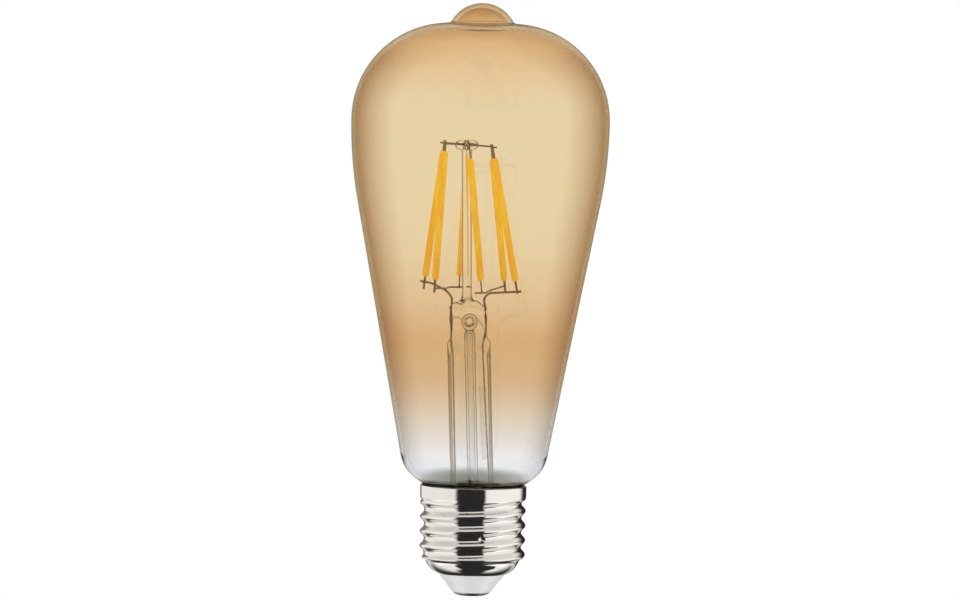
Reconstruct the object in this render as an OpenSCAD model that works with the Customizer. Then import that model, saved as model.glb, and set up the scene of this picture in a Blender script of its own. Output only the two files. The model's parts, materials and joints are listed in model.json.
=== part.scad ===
// Screw-cap lamp: an ST64 glass bulb on an E27 cap, six LED filaments hung on a glass stem, and
// an LED driver with a radio board inside the cap. Units are millimetres.
// The origin is the flat of the centre contact, on the cap's axis. +Z points to the glass tip.

/* [Glass bulb] */
// Widest diameter of the glass
glass_d = 64; // [62:0.5:66]
// Height from the centre contact to the top of the glass tip
total_h = 147; // [145.5:0.5:149]
// Height of the widest place
widest_z = 118; // [116:0.5:119]
// Radius of the shoulder's curve
shoulder_r = 24; // [22:0.5:26]
// Radius of the flat dome on top
dome_r = 99; // [80:1:120]
// Radius of the curve below the widest place
belly_r = 109; // [90:1:130]
// Angle of the tapering side to the axis
taper_angle = 10.7; // [10.3:0.1:11]
// Radius of the sealed tip's ball end
tip_r = 8.7; // [7:0.1:9.5]
// Thickness of the glass
glass_wall = 0.9; // [0.7:0.1:1.2]
// Extra thickness of the glass under the tip
tip_extra = 0.2; // [0:0.1:1]
// Outer radius of the neck inside the cap
neck_r = 11.5; // [11.4:0.1:11.6]

/* [Screw cap] */
// Radius of the smooth collar
collar_r = 13.2; // [13.1:0.05:13.25]
// Height of the cap's rim
rim_z = 27.5; // [27:0.1:27.8]
// Height where the collar starts
collar_z = 24.5; // [24.4:0.1:24.7]
// Radius at the bottom of the thread
thread_root_r = 12.1; // [12:0.05:12.2]
// Rise of the thread in one turn
thread_pitch = 3.629; // [3.6:0.001:3.65]
// Thickness of the sheet metal
shell_wall = 0.25; // [0.2:0.05:0.3]

/* [Stem] */
// Angle by which the whole stem stands out of true
stem_lean = 2.4; // [0:0.1:2.6]
// Outer radius of the flare tube
stem_r = 5.4; // [5:0.1:5.6]
// Height of the pressed end's top
press_top = 73.4; // [72:0.1:74]
// Width of the pressed end
press_w = 9.3; // [9:0.1:9.8]
// Thickness of the pressed end
press_t = 3.2; // [2.8:0.1:3.4]
// Radius of the glass pillar
pillar_r = 1.25; // [1:0.05:1.4]
// Angle by which the pillar is turned back upright on the pressed end
pillar_turn = 1.25; // [0:0.05:1.5]

/* [Filaments] */
// Radius of the circle through the filaments' lower ends
ring_low_r = 11.65; // [11:0.05:12]
// Radius of the circle through the filaments' upper ends
ring_top_r = 7.1; // [6.8:0.05:7.4]
// Angle by which the upper ends are turned against the lower ends
ring_turn = -9.5; // [-11:0.5:0]
// Radius of the phosphor coat
coat_r = 0.83; // [0.75:0.01:0.9]
// Number of LED chips on a filament
chip_count = 24; // [16:1:26]
// Radius of the lead wires
lead_r = 0.3; // [0.25:0.01:0.32]
// Radius of the cross wires and of the top arms
wire_r = 0.25; // [0.2:0.01:0.27]

/* [Hidden] */
$fn = 48;
// Play left between pieces that are fused, pressed or glued together
fit = 0.02;

// Glass
neck_z = 18.3;
neck_curve = 1.5;
slope_from = [13.1, 28.1];
slope_angle = 55;
corner_r = 9;
tip_fillet = 1;
belly_c = [glass_d / 2 - belly_r, widest_z];
shoulder_c = [glass_d / 2 - shoulder_r, widest_z];
dome_c = [0, widest_z - sqrt(pow(dome_r - shoulder_r, 2) - pow(shoulder_c.x, 2))];
dome_from = atan2(widest_z - dome_c.y, shoulder_c.x);
tip_c = [0, total_h - tip_r];

// Cap
thread_depth = 1.05;
thread_start = 10.45;
thread_z = 8.5;
thread_top = collar_z + 0.35;
thread_rows = 36;
thread_sides = 36;
skirt_c = [6.05, 10.9];
skirt_r = 6;
insulator_low = [4.75, 0.95];
insulator_top = 8.3;
shank_r = 1.1;
shank_z = 9.2;

// Stem
stem_pivot = 19.4;
stem_wall = 0.8;
flare_z = 29;
flare_curve = 10;
flare_sweep = 57;
flare_rim_r = neck_r - glass_wall - 0.06;
flare_rim_z = 18.8;
shoulder_z = 63.4;
pinch_z = 66;
exhaust_r = 1.4;
exhaust_bore = 0.8;
exhaust_top = 66.5;
hole_at = [0.3, 68.2];
dumet_at = [-4, 4.15];
dumet_low = 66.5;
dumet_top = 72.5;
lead_low_z = 21;
left_lead = [[dumet_at[0], 0, dumet_low], [-4.2, 0, lead_low_z]];
right_lead = [[dumet_at[1], 0, dumet_low], [3.35, 0, 62.9], [4.5, 0, lead_low_z]];
sleeve_top = 52;
sleeve_low = 33.5;
sleeve_shift = 0.53;
pillar_shift = -0.25;
button_z = 111.95;
button_r = 2.9;
button_h = 2.4;

// Filaments, counted round the stem from the front one
filament_az = [-77, -17, 43, 103, 163, 223];
filament_low = [79.0, 78.55, 78.15, 79.25, 79.4, 79.1];
filament_top = [108.55, 108.5, 108.3, 110.15, 110.4, 110.3];
ring_low_x = 0.8;
ring_top_x = 0.5;
strip_w = 0.5;
strip_t = 0.3;
strip_tail = 3.35;
chip_t = 0.14;
arm_rise = 0.65;
arm_slope = -0.0857;
hub_r = 0.9;
hub_h = 0.9;
weld_play = 0.13;

// Driver
board_y = 3;
board_t = 1;
board_z = 8.9;
lead_hole_z = 17.2;
can_at = [-4.8, -3];
can_r = 3.15;
drum_at = [5, -2.8];
drum_r = 3;
part_z = 9.6;
leg_z = 9.1;
leg_r = 0.25;
leg_in = board_y + 0.8;
resistor_y = -7.8;
resistor_z = 11;
solder_az = 100;
solder_z = 16.9;
solder_from = 10.95;
solder_to = 11.78;

function unit(v) = v / norm(v);
function ramp(t) = t <= 0 ? 0 : t >= 1 ? 1 : t * t * (3 - 2 * t);
function back_to_front(list) = [for (i = [len(list) - 1 : -1 : 0]) list[i]];

// Points on an arc; without its last point when another arc carries on from there
function arc(c, r, from, to, steps, whole = true) = [
    for (i = [0 : steps - (whole ? 0 : 1)])
        let (a = from + (to - from) * i / steps)
        c + r * [cos(a), sin(a)]
];

// Where two lines meet, each given by its normal's angle and its distance along it
function meet(a, da, b, db) = [
    (da * sin(b) - db * sin(a)) / sin(b - a),
    (db * cos(a) - da * cos(b)) / sin(b - a)
];
function along(p, a) = p.x * cos(a) + p.y * sin(a);

// Side of the bulb from the neck to the dome, t inside the outer face
function glass_side(t) =
    let (
        taper_end = belly_c + belly_r * [cos(-taper_angle), sin(-taper_angle)],
        corner_c = meet(-taper_angle, along(taper_end, -taper_angle) - corner_r,
            -slope_angle, along(slope_from, -slope_angle) - corner_r),
        neck_c = meet(0, neck_r + neck_curve,
            -slope_angle, along(slope_from, -slope_angle) + neck_curve)
    )
    concat(
        [[neck_r - t, neck_z]],
        arc(neck_c, neck_curve + t, 180, 180 - slope_angle, 4),
        arc(corner_c, corner_r - t, -slope_angle, -taper_angle, 5),
        arc(belly_c, belly_r - t, -taper_angle, 0, 5, false),
        arc(shoulder_c, shoulder_r - t, 0, dome_from, 16, false)
    );

// Dome, fillet and ball of the outer face
function glass_crown() =
    let (
        gap = tip_c.y - dome_c.y,
        far = pow(dome_r + tip_fillet, 2),
        rise = (gap * gap + far - pow(tip_r + tip_fillet, 2)) / (2 * gap),
        fillet_c = [sqrt(far - rise * rise), dome_c.y + rise],
        on_dome = atan2(rise, fillet_c.x),
        on_tip = atan2(fillet_c.y - tip_c.y, fillet_c.x)
    )
    concat(
        arc(dome_c, dome_r, dome_from, on_dome, 4, false),
        arc(fillet_c, tip_fillet, on_dome + 180, on_tip + 180, 4, false),
        arc(tip_c, tip_r, on_tip, 90, 9)
    );

// Dome of the inner face and the hollow of the tip, where the wall is thicker
function glass_ceiling() =
    let (
        inner_r = dome_r - glass_wall,
        hollow_r = tip_r - glass_wall - tip_extra,
        blend = tip_fillet + glass_wall,
        gap = tip_c.y - dome_c.y,
        far = pow(inner_r + blend, 2),
        rise = (gap * gap + far - pow(hollow_r + blend, 2)) / (2 * gap),
        blend_c = [sqrt(far - rise * rise), dome_c.y + rise],
        on_dome = atan2(rise, blend_c.x),
        on_tip = atan2(blend_c.y - tip_c.y, blend_c.x)
    )
    concat(
        arc(dome_c, inner_r, dome_from, on_dome, 4, false),
        arc(blend_c, blend, on_dome + 180, on_tip + 180, 4, false),
        arc(tip_c, hollow_r, on_tip, 90, 7)
    );

// Thread's rise over its root, as a share of its depth, at one place
function thread_wave(az, z) =
    let (
        wave = pow((1 + cos(360 * (z - thread_start) / thread_pitch - az)) / 2, 0.75),
        foot = ramp((z - thread_z - 0.1) / 1.2),
        top = ramp((z - collar_z + 1.3) / 1.2)
    )
    foot * max(wave, top);
function thread_base(z) = thread_root_r - 0.55 * (1 - ramp((z - thread_z) / 1.1));
function thread_face(az, z) = thread_base(z) + thread_depth * thread_wave(az, z);

// Point at height z on the stretch of a row of points that starts at point k
function on_line(points, k, z) =
    points[k] + (points[k + 1] - points[k]) * (z - points[k].z) / (points[k + 1].z - points[k].z);

// Stem's frame: out of true by stem_lean, turned about the flare's rim
module on_stem() {
    translate([0, 0, stem_pivot])
        rotate([0, -stem_lean, 0])
            translate([0, 0, -stem_pivot])
                children();
}

// Pillar's frame: turned back on the pressed end
module on_pillar() {
    on_stem()
        translate([pillar_shift, 0, press_top])
            rotate([0, pillar_turn, 0])
                translate([0, 0, -press_top])
                    children();
}

// Carries children drawn along +Z from p to where q lies, with their X side facing az
module aim(p, q, az) {
    d = q - p;
    heading = atan2(d.y, d.x);
    translate(p)
        rotate([0, acos(d.z / norm(d)), heading])
            rotate([0, 0, az - heading])
                children();
}

module rod(p, q, r) {
    aim(p, q, 0)
        cylinder(h = norm(q - p), r = r);
}

// How far short of bend i a wire's straight lengths stop
function bend_gap(points, i, r) =
    let (turn = acos(unit(points[i] - points[i - 1]) * unit(points[i + 1] - points[i])))
    r * (tan(turn / 2) + 0.1);

// Ball in a bend between directions a and b, with its X side on the outside of the bend
module bend_ball(a, b, r) {
    x = unit(a - b);
    z = unit(cross(a, b));
    y = cross(z, x);
    multmatrix([[x.x, y.x, z.x, 0], [x.y, y.y, z.y, 0], [x.z, y.z, z.z, 0]])
        sphere(r = r);
}

// Round wire through a row of points: straight lengths with a ball in each bend
module wire(points, r) {
    last = len(points) - 1;
    ways = [for (i = [1 : last]) unit(points[i] - points[i - 1])];
    gaps = [for (i = [0 : last]) i == 0 || i == last ? 0 : bend_gap(points, i, r)];
    for (i = [1 : last])
        rod(points[i - 1] + gaps[i - 1] * ways[i - 1], points[i] - gaps[i] * ways[i - 1], r);
    for (i = [1 : last - 1])
        translate(points[i])
            bend_ball(ways[i - 1], ways[i], 1.08 * norm([gaps[i], r]));
}

module box(from, to) {
    translate(from)
        cube(to - from);
}

// ---- Filament lines, in the pillar's frame ----

function ends_low(i) = [
    ring_low_x + ring_low_r * cos(filament_az[i]),
    ring_low_r * sin(filament_az[i]),
    filament_low[i]
];
function ends_top(i) = [
    ring_top_x + ring_top_r * cos(filament_az[i] + ring_turn),
    ring_top_r * sin(filament_az[i] + ring_turn),
    filament_top[i]
];
// Point on a filament's line at height z
function pin(i, z) =
    let (p = ends_low(i), q = ends_top(i))
    p + (q - p) * (z - p.z) / (q.z - p.z);
function outward(i) = [cos(filament_az[i]), sin(filament_az[i]), 0];
function sideways(i) = [-sin(filament_az[i]), cos(filament_az[i]), 0];
// End of a wire of radius r that comes from a point and passes a filament's pin, welded to its side
function past_pin(i, z, from, r) =
    let (
        p = pin(i, z),
        d = unit([p.x - from.x, p.y - from.y, 0]),
        turn = d * outward(i),
        half = strip_t / 2 * abs(turn) + strip_w / 2 * sqrt(1 - min(1, turn * turn))
    )
    p + (half + r + weld_play) * [-d.y, d.x, 0] + 0.8 * d;
function arm_z(i) = button_z + arm_slope * ends_top(i).x;
function arm_tip(i) = past_pin(i, arm_z(i), [0, 0, 0], wire_r);
function arm_foot(i) =
    let (d = unit([arm_tip(i).x, arm_tip(i).y, 0]))
    [0.6 * d.x, 0.6 * d.y, button_z + arm_slope * 0.6 * d.x];

module strip_frame(i) {
    aim(ends_low(i), ends_top(i), filament_az[i] + ring_turn / 2)
        children();
}

function filament_length(i) = norm(ends_top(i) - ends_low(i));

module filament(n) {
    i = n - 1;
    h = filament_length(i);
    color("#f2a81e")
        on_pillar()
            strip_frame(i)
                difference() {
                    rotate_extrude()
                        polygon([[0, 0], [0.55, 0], [coat_r, 0.5], [coat_r, h - 0.5], [0.55, h], [0, h]]);
                    box([-strip_w / 2 - fit, -strip_t / 2 - fit, -1],
                        [strip_w / 2 + fit, strip_t / 2 + chip_t + fit, h + 1]);
                }
}

module filament_strip(n) {
    i = n - 1;
    rise = (arm_z(i) + arm_rise - filament_top[i]) * filament_length(i)
        / (filament_top[i] - filament_low[i]);
    color("#8c8478")
        on_pillar()
            strip_frame(i)
                box([-strip_w / 2, -strip_t / 2, -strip_tail],
                    [strip_w / 2, strip_t / 2, filament_length(i) + rise]);
}

module filament_chips(n) {
    i = n - 1;
    pitch = (filament_length(i) - 1.2) / chip_count;
    color("#c9d6f2")
        on_pillar()
            strip_frame(i)
                for (k = [0 : chip_count - 1])
                    translate([0, strip_t / 2, 0.6 + (k + 0.5) * pitch])
                        box([-0.22, 0, -0.4], [0.22, chip_t, 0.4]);
}

// ---- Glass ----

module glass_envelope() {
    color("#e0b878", 0.35)
        rotate_extrude($fn = 96)
            polygon(concat(
                glass_side(0), glass_crown(),
                back_to_front(concat(glass_side(glass_wall), glass_ceiling()))
            ));
}

function flare_face(t) = concat(
    [[flare_rim_r - t, flare_rim_z]],
    back_to_front(arc([stem_r + flare_curve, flare_z], flare_curve + t, 180, 180 + flare_sweep, 8))
);

function slot_outline(w, t) = concat(
    arc([w / 2 - t / 2, 0], t / 2, -90, 90, 8),
    arc([t / 2 - w / 2, 0], t / 2, 90, 270, 8)
);

// Wedge that takes the tube's round end down to the pressed end's half width
module pinch_cut(half, reach) {
    for (side = [0, 180])
        rotate([0, 0, side])
            rotate([90, 0, 0])
                linear_extrude(height = 16, center = true)
                    polygon([[stem_r, shoulder_z], [half, pinch_z], [half, pinch_z + reach],
                        [stem_r + 2, pinch_z + reach], [stem_r + 2, shoulder_z]]);
}

module stem_flare() {
    color("#d8e4e0", 0.4)
        on_stem()
            difference() {
                union() {
                    difference() {
                        rotate_extrude()
                            polygon(concat(
                                flare_face(0),
                                [[stem_r, pinch_z], [0, pinch_z], [0, shoulder_z]],
                                [[stem_r - stem_wall, shoulder_z]],
                                back_to_front(flare_face(stem_wall))
                            ));
                        pinch_cut(press_w / 2 - 0.2, 1);
                        rotate([0, 0, 90])
                            pinch_cut(press_t / 2 - 0.1, 1);
                    }
                    translate([0, 0, pinch_z - 1])
                        linear_extrude(height = press_top - pinch_z + 1)
                            polygon(slot_outline(press_w, press_t));
                    translate([hole_at.x, -press_t / 2, hole_at.y])
                        rotate([90, 0, 0])
                            rotate_extrude()
                                translate([1.6, 0])
                                    circle(r = 0.55);
                }
                translate([0, 0, shoulder_z - 1])
                    cylinder(h = exhaust_top - shoulder_z + 1, r = exhaust_r + fit);
                cylinder(h = hole_at.y, r = exhaust_bore);
                translate([hole_at.x, 0, hole_at.y])
                    rotate([90, 0, 0])
                        cylinder(h = press_t, r = 1);
                for (x = dumet_at) {
                    rod([x, 0, dumet_low - 0.1], [x, 0, dumet_top + 0.1], lead_r + fit);
                    rod([x, 0, dumet_top], [x, 0, press_top + 1], lead_r + 0.15);
                }
                for (lead = [left_lead, right_lead])
                    rod(lead[0], on_line(lead, 0, shoulder_z - 1), leg_r + 0.12);
            }
}

module exhaust_tube() {
    color("#d8e4e0", 0.4)
        on_stem()
            rotate_extrude()
                polygon([[0, 15.3], [0.8, 15.6], [exhaust_r, 16.6], [exhaust_r, exhaust_top],
                    [exhaust_bore, exhaust_top], [exhaust_bore, 17.6], [0.4, 16.9], [0, 16.7]]);
}

module spider_shape(grow) {
    translate([0, 0, button_z - hub_h / 2 - grow])
        cylinder(h = hub_h + 2 * grow, r = hub_r + grow);
    for (i = [0 : 5])
        rod(arm_foot(i), arm_tip(i), wire_r + grow);
}

module glass_pillar() {
    edge = button_h / 2;
    color("#d8e4e0", 0.4)
        on_pillar()
            difference() {
                rotate_extrude()
                    polygon(concat(
                        [[0, press_top + 0.05], [2, press_top + 0.05], [1.8, press_top + 0.5]],
                        [[pillar_r, press_top + 1.3], [pillar_r, button_z - edge]],
                        arc([button_r - edge, button_z], edge, -75, 90, 10),
                        [[0, button_z + edge]]
                    ));
                spider_shape(fit);
            }
}

module top_spider() {
    color("#7d7468")
        on_pillar()
            spider_shape(0);
}

// ---- Lead wires ----

module dumet_seals() {
    color("#b8562e")
        on_stem()
            for (x = dumet_at)
                rod([x, 0, dumet_low], [x, 0, dumet_top], lead_r);
}

module left_lead_wire() {
    last = [-8.6, 2.3, 77.65];
    color("#7d7468")
        on_pillar()
            wire([[dumet_at[0] - pillar_shift, 0, dumet_top + 0.12], [-3.68, 0, 74.2], [-4.9, 0.4, 75.75],
                last, past_pin(4, 78.1, last, lead_r)], lead_r);
}

module right_lead_wire() {
    last = [5.5, -0.35, 75.3];
    color("#7d7468")
        on_pillar()
            wire([[dumet_at[1] - pillar_shift, 0, dumet_top + 0.16], [4.2, 0, 74], last,
                past_pin(1, 75.8, last, lead_r)], lead_r);
}

module left_cross_wire() {
    knee = [-4.9, 1.2, 76.42];
    bend = pin(3, 76.2) + (strip_w / 2 + wire_r + weld_play) * outward(3);
    color("#7d7468")
        on_pillar()
            wire([past_pin(5, 76.9, knee, wire_r), knee, [-4.75, 10.4, 76.2],
                bend + 2.3 * sideways(3), bend - 3 * sideways(3)], wire_r);
}

module right_cross_wire() {
    knee = [5.7, -0.4, 75.95];
    bend = pin(0, 75.9) + (strip_w / 2 + wire_r + weld_play) * outward(0);
    color("#7d7468")
        on_pillar()
            wire([past_pin(2, 76.6, knee, wire_r), knee, [4.85, -10.8, 75.9],
                bend + 0.55 * sideways(0), bend - 1.9 * sideways(0)], wire_r);
}

// Way from a lead's low end into the driver board
function into_board(x) = [[x, 1.6, lead_hole_z], [x, board_y + 0.7, lead_hole_z]];

module left_outer_lead() {
    color("#b08a5a")
        on_stem()
            wire(concat([left_lead[0] - [0, 0, 0.04]], [left_lead[1]], into_board(-4.4)), leg_r);
}

module right_outer_lead() {
    color("#b08a5a")
        on_stem()
            wire(concat([on_line(right_lead, 0, dumet_low - 0.12)], [right_lead[1], right_lead[2]],
                into_board(4.4)), leg_r);
}

module lead_sleeve() {
    top = on_line(right_lead, 1, sleeve_top) - [sleeve_shift, 0, 0];
    low = on_line(right_lead, 1, sleeve_low) - [sleeve_shift, 0, 0];
    color("#dfe5e2", 0.5)
        on_stem()
            aim(low, top, 0)
                difference() {
                    cylinder(h = norm(top - low), r = 0.95);
                    translate([0, 0, -1])
                        cylinder(h = norm(top - low) + 2, r = 0.85);
                }
}

// ---- Cap ----

// Sheet-metal wall of the thread, closed at both ends
module thread_wall() {
    rings = [
        for (row = [0 : thread_rows])
            let (
                z = thread_z + (thread_top - thread_z) * row / thread_rows,
                thin = row == 0 || row >= thread_rows - 1 ? 0.06 : 0
            )
            [z, thin]
    ];
    points = [
        for (ring = rings)
            for (k = [0 : thread_sides - 1])
                let (az = 360 * k / thread_sides, r = thread_face(az, ring[0]))
                for (face = [r - ring[1], r - shell_wall + ring[1]])
                    [face * cos(az), face * sin(az), ring[0]]
    ];
    function at(row, k, face) = (row * thread_sides + k % thread_sides) * 2 + face;
    skins = [
        for (row = [0 : thread_rows - 1])
            for (k = [0 : thread_sides - 1])
                for (tri = [
                    [at(row, k, 0), at(row + 1, k, 0), at(row + 1, k + 1, 0)],
                    [at(row, k, 0), at(row + 1, k + 1, 0), at(row, k + 1, 0)],
                    [at(row, k, 1), at(row + 1, k + 1, 1), at(row + 1, k, 1)],
                    [at(row, k, 1), at(row, k + 1, 1), at(row + 1, k + 1, 1)]
                ])
                    tri
    ];
    low_end = [
        for (k = [0 : thread_sides - 1])
            for (tri = [
                [at(0, k, 0), at(0, k + 1, 0), at(0, k + 1, 1)],
                [at(0, k, 0), at(0, k + 1, 1), at(0, k, 1)]
            ])
                tri
    ];
    top_end = [
        for (k = [0 : thread_sides - 1])
            for (tri = [
                [at(thread_rows, k, 0), at(thread_rows, k + 1, 1), at(thread_rows, k + 1, 0)],
                [at(thread_rows, k, 0), at(thread_rows, k, 1), at(thread_rows, k + 1, 1)]
            ])
                tri
    ];
    polyhedron(points = points, faces = concat(skins, low_end, top_end), convexity = 8);
}

module screw_shell() {
    color("#c9c9c6")
        union() {
            thread_wall();
            translate([0, 0, collar_z])
                difference() {
                    cylinder(h = rim_z - collar_z, r = collar_r);
                    translate([0, 0, -1])
                        cylinder(h = rim_z - collar_z + 2, r = collar_r - shell_wall - 0.05);
                }
            rotate_extrude()
                polygon(concat(
                    arc(skirt_c, skirt_r, -64, -22, 6),
                    back_to_front(arc(skirt_c, skirt_r - shell_wall - 0.05, -64, -22, 6))
                ));
        }
}

module cap_insulator() {
    lift = skirt_r - shell_wall - 0.12;
    skirt = arc(skirt_c, lift, -63, -30, 5);
    color("#eef0ee")
        difference() {
            rotate_extrude()
                polygon(concat(
                    [[0, insulator_low.y], insulator_low, [6.4, 3.1], [7.35, 4.2], [8.15, 5.4]],
                    skirt,
                    [[10.2, insulator_top], [0, insulator_top]]
                ));
            cylinder(h = insulator_top + 1, r = shank_r + fit);
        }
}

module centre_contact() {
    color("#9a9a96")
        rotate_extrude()
            polygon([[0, 0], [3, 0], [4, 0.35], [4.6, 0.75], [4.7, insulator_low.y],
                [shank_r, insulator_low.y], [shank_r, shank_z], [0, shank_z]]);
}

module capping_cement() {
    color("#d9d2c2")
        rotate_extrude()
            polygon([[neck_r + fit, collar_z + 0.1], [collar_r - shell_wall - 0.05 - fit, collar_z + 0.6],
                [collar_r - shell_wall - 0.05 - fit, collar_z + 1.2], [neck_r + fit, collar_z + 0.9]]);
}

module shell_solder() {
    color("#b9bcc0")
        rotate([0, 0, solder_az])
            rod([solder_from, 0, solder_z], [solder_to, 0, solder_z], 0.8);
}

module insulation_liner() {
    color("#c8b98a", 0.8)
        difference() {
            translate([0, 0, 9])
                cylinder(h = 6.7, r = 11.3);
            translate([0, 0, 8])
                cylinder(h = 9, r = 11);
        }
}

// ---- Driver ----

// Bent leg from below a standing part into the board
module board_leg(x, y) {
    wire([[x, y, part_z], [x, y, leg_z], [x, leg_in, leg_z]], leg_r);
}

module leg_hole(x, z) {
    translate([x, board_y - 1, z])
        rotate([-90, 0, 0])
            cylinder(h = 3, r = leg_r + 0.2);
}

module driver_board() {
    color("#2e6b3c")
        difference() {
            union() {
                box([-9.4, board_y, board_z - 0.2], [9.4, board_y + board_t, 16.6]);
                box([-5.4, board_y, 16.5], [5.4, board_y + board_t, 20]);
            }
            for (x = [can_at.x - 1.25, can_at.x + 1.25, drum_at.x - 1.5, drum_at.x + 1.5])
                leg_hole(x, leg_z);
            leg_hole(8.6, resistor_z);
            on_stem()
                for (side = [-1, 1])
                    leg_hole(4.4 * side, lead_hole_z);
        }
}

// Flat chip package with legs on both long sides
module chip(w, h, t, legs) {
    pitch = w / legs;
    box([-w / 2, 0.1, -h / 2], [w / 2, t, h / 2]);
    for (side = [-1, 1])
        for (k = [0 : legs - 1])
            translate([(k + 0.5 - legs / 2) * pitch, 0, side * (h / 2 + 0.3)])
                box([-0.2, 0, -0.45], [0.2, 0.3, 0.45]);
}

module rectifier() {
    color("#26262a")
        translate([5.6, board_y + board_t, 11.4])
            chip(4.6, 2.6, 1.4, 2);
}

module driver_chip() {
    color("#26262a")
        translate([-5.2, board_y + board_t, 11.4])
            chip(4.8, 2.6, 1.4, 4);
}

module capacitor() {
    color("#33373f")
        union() {
            translate([can_at.x, can_at.y, part_z])
                rotate_extrude()
                    polygon([[0, 0], [can_r - 0.3, 0], [can_r, 0.3], [can_r, 0.9], [can_r - 0.3, 1.2],
                        [can_r, 1.5], [can_r, 7.8], [can_r - 0.4, 8.2], [0, 8.2]]);
            for (x = [-1.25, 1.25])
                board_leg(can_at.x + x, can_at.y);
        }
}

module inductor_core() {
    color("#3a3a3c")
        union() {
            translate([drum_at.x, drum_at.y, part_z])
                rotate_extrude()
                    polygon([[0, 0], [drum_r, 0], [drum_r, 1], [1.3, 1], [1.3, 5.5], [drum_r, 5.5],
                        [drum_r, 6.5], [0, 6.5]]);
            for (x = [-1.5, 1.5])
                board_leg(drum_at.x + x, drum_at.y);
        }
}

module inductor_winding() {
    color("#b8652e")
        translate([drum_at.x, drum_at.y, part_z + 1 + fit])
            difference() {
                cylinder(h = 4.5 - 2 * fit, r = 2.75);
                translate([0, 0, -1])
                    cylinder(h = 7, r = 1.3 + fit);
            }
}

module fusible_resistor() {
    color("#7f9aa6")
        union() {
            translate([0, resistor_y, resistor_z])
                rotate([0, 90, 0])
                    rotate_extrude()
                        polygon([[0, -3.25], [0.8, -3.25], [1.15, -2.9], [1.15, -2], [1, -1.7], [1, 1.7],
                            [1.15, 2], [1.15, 2.9], [0.8, 3.25], [0, 3.25]]);
            rod([-4.6, resistor_y, resistor_z], [-3, resistor_y, resistor_z], leg_r);
            wire([[3, resistor_y, resistor_z], [5.4, resistor_y, resistor_z], [8.6, -4.2, resistor_z],
                [8.6, board_y + 0.7, resistor_z]], leg_r);
        }
}

module radio_board() {
    y = board_y + board_t;
    color("#1f3a6b")
        union() {
            box([-4.6, y, 13.9], [4.6, y + 0.8, 19.8]);
            box([-2.3, y, 19.7], [2.3, y + 0.8, 22.6]);
        }
}

module radio_shield() {
    y = board_y + board_t + 0.8;
    color("#c4c6c8")
        difference() {
            box([-4.1, y, 14.2], [4.1, y + 1.6, 19]);
            box([-3.9, y - 1, 14.4], [3.9, y + 1.4, 18.8]);
        }
}

module antenna_trace() {
    y = board_y + board_t + 0.8;
    color("#c98a3a")
        union() {
            box([-1.95, y, 19.3], [-1.65, y + 0.1, 22.3]);
            for (k = [0 : 2]) {
                box([-1.95 + 1.2 * k, y, 22], [-0.45 + 1.2 * k, y + 0.1, 22.3]);
                box([-0.75 + 1.2 * k, y, 20.1], [-0.45 + 1.2 * k, y + 0.1, 22.3]);
            }
        }
}

module live_wire() {
    color("#a83228")
        wire([[0, 0.6, shank_z + lead_r], [0, -6, shank_z + lead_r], [-4.9, resistor_y, shank_z + lead_r],
            [-4.9, resistor_y, resistor_z + 0.3]], lead_r);
}

module neutral_wire() {
    out = [cos(solder_az), sin(solder_az), 0];
    solder = solder_from * out + [0, 0, solder_z];
    color("#2f5fa8")
        wire([[-7.4, board_y + board_t + 0.08, 15], [-7.3, 5.6, 15.4], [-6, 8, 16.6], solder - 1.5 * out,
            solder], leg_r);
}

screw_shell();
cap_insulator();
centre_contact();
capping_cement();
shell_solder();
insulation_liner();
glass_envelope();
stem_flare();
exhaust_tube();
glass_pillar();
top_spider();
dumet_seals();
left_lead_wire();
right_lead_wire();
left_cross_wire();
right_cross_wire();
left_outer_lead();
right_outer_lead();
lead_sleeve();
filament(1);  // filament_1
filament(2);  // filament_2
filament(3);  // filament_3
filament(4);  // filament_4
filament(5);  // filament_5
filament(6);  // filament_6
filament_strip(1);  // filament_1_strip
filament_strip(2);  // filament_2_strip
filament_strip(3);  // filament_3_strip
filament_strip(4);  // filament_4_strip
filament_strip(5);  // filament_5_strip
filament_strip(6);  // filament_6_strip
filament_chips(1);  // filament_1_chips
filament_chips(2);  // filament_2_chips
filament_chips(3);  // filament_3_chips
filament_chips(4);  // filament_4_chips
filament_chips(5);  // filament_5_chips
filament_chips(6);  // filament_6_chips
driver_board();
rectifier();
driver_chip();
capacitor();
inductor_core();
inductor_winding();
fusible_resistor();
radio_board();
radio_shield();
antenna_trace();
live_wire();
neutral_wire();
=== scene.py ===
"""Looks of the screw-cap LED filament lamp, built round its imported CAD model.

Shapes are drawn in millimetres and scaled to metres when a piece is made.
"""
import json
import math

import bmesh
import bpy
from mathutils import Matrix, Quaternion, Vector, noise

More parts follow.
